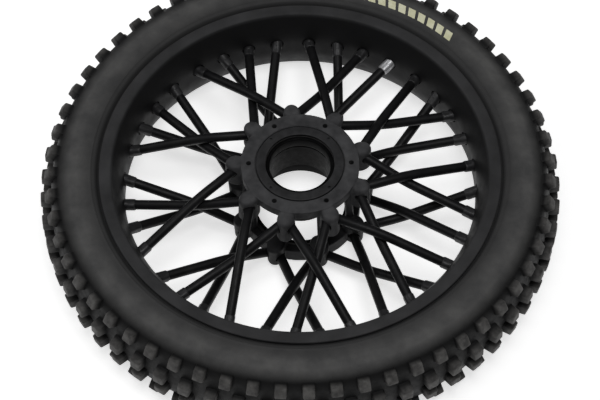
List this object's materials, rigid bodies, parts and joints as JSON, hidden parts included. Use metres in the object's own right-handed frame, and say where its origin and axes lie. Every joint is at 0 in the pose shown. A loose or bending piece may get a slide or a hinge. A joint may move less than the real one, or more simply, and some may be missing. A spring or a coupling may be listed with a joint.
{
  "type": "spoked wheel",
  "caption": "Small off-road motorcycle front wheel: knobbly tyre on a drop-centre rim, laced by crossed spokes to an open cage hub that turns on thin ball bearings.",
  "frame": {"origin": "centre of the wheel, on the axle line midway between the tyre's two sides", "axes": "+Z along the axle line, towards the hub's upper side, which carries the disc holes; the wheel lies flat as the picture shows it, so its plane is XY instead of the usual upright wheel with its axle along Y; +X points at the first disc hole"},
  "size_m": [0.172, 0.172, 0.03],
  "materials": {
    "tyre_rubber": "matt moulded rubber",
    "foam": "open-cell foam",
    "band_rubber": "matt",
    "rim_black": "satin black",
    "hub_black": "satin black",
    "spoke_black": "satin black",
    "race_steel": "black oxide",
    "ball_steel": "polished",
    "seal_rubber": "matt",
    "retainer_black": "satin black",
    "clip_steel": "phosphated"
  },
  "bodies": {
    "axle_core": {"upper_bearing_inner_race": "race_steel", "lower_bearing_inner_race": "race_steel"},
    "wheel": {"tyre": "tyre_rubber", "foam_insert": "foam", "rim": "rim_black", "rim_band": "band_rubber", "hub": "hub_black", "upper_bearing_retainer": "retainer_black", "lower_bearing_circlip": "clip_steel", "spoke_upper_1_forward": "spoke_black", "spoke_upper_1_back": "spoke_black", "spoke_upper_2_forward": "spoke_black", "spoke_upper_2_back": "spoke_black", "spoke_upper_3_forward": "spoke_black", "spoke_upper_3_back": "spoke_black", "spoke_upper_4_forward": "spoke_black", "spoke_upper_4_back": "spoke_black", "spoke_upper_5_forward": "spoke_black", "spoke_upper_5_back": "spoke_black", "spoke_upper_6_forward": "spoke_black", "spoke_upper_6_back": "spoke_black", "spoke_upper_7_forward": "spoke_black", "spoke_upper_7_back": "spoke_black", "spoke_upper_8_forward": "spoke_black", "spoke_upper_8_back": "spoke_black", "spoke_upper_9_forward": "spoke_black", "spoke_upper_9_back": "spoke_black", "spoke_lower_1_forward": "spoke_black", "spoke_lower_1_back": "spoke_black", "spoke_lower_2_forward": "spoke_black", "spoke_lower_2_back": "spoke_black", "spoke_lower_3_forward": "spoke_black", "spoke_lower_3_back": "spoke_black", "spoke_lower_4_forward": "spoke_black", "spoke_lower_4_back": "spoke_black", "spoke_lower_5_forward": "spoke_black", "spoke_lower_5_back": "spoke_black", "spoke_lower_6_forward": "spoke_black", "spoke_lower_6_back": "spoke_black", "spoke_lower_7_forward": "spoke_black", "spoke_lower_7_back": "spoke_black", "spoke_lower_8_forward": "spoke_black", "spoke_lower_8_back": "spoke_black", "spoke_lower_9_forward": "spoke_black", "spoke_lower_9_back": "spoke_black", "upper_bearing_outer_race": "race_steel", "upper_bearing_seal_top": "seal_rubber", "upper_bearing_seal_bottom": "seal_rubber", "lower_bearing_outer_race": "race_steel", "lower_bearing_seal_top": "seal_rubber", "lower_bearing_seal_bottom": "seal_rubber"},
    "upper_ball_set": {"upper_bearing_balls": "ball_steel"},
    "lower_ball_set": {"lower_bearing_balls": "ball_steel"}
  },
  "joints": [
    {"name": "wheel_spin", "type": "hinge", "parent": "axle_core", "child": "wheel", "pos_m": [0, 0, 0], "axis": [0, 0, 1], "continuous": true},
    {"name": "upper_balls_roll", "type": "hinge", "parent": "axle_core", "child": "upper_ball_set", "pos_m": [0, 0, 0.0112], "axis": [0, 0, 1], "continuous": true},
    {"name": "lower_balls_roll", "type": "hinge", "parent": "axle_core", "child": "lower_ball_set", "pos_m": [0, 0, -0.0116], "axis": [0, 0, 1], "continuous": true}
  ],
  "couplings": [
    {"joint": "upper_balls_roll", "follows": "wheel_spin", "ratio": 0.5443},
    {"joint": "lower_balls_roll", "follows": "wheel_spin", "ratio": 0.531}
  ]
}
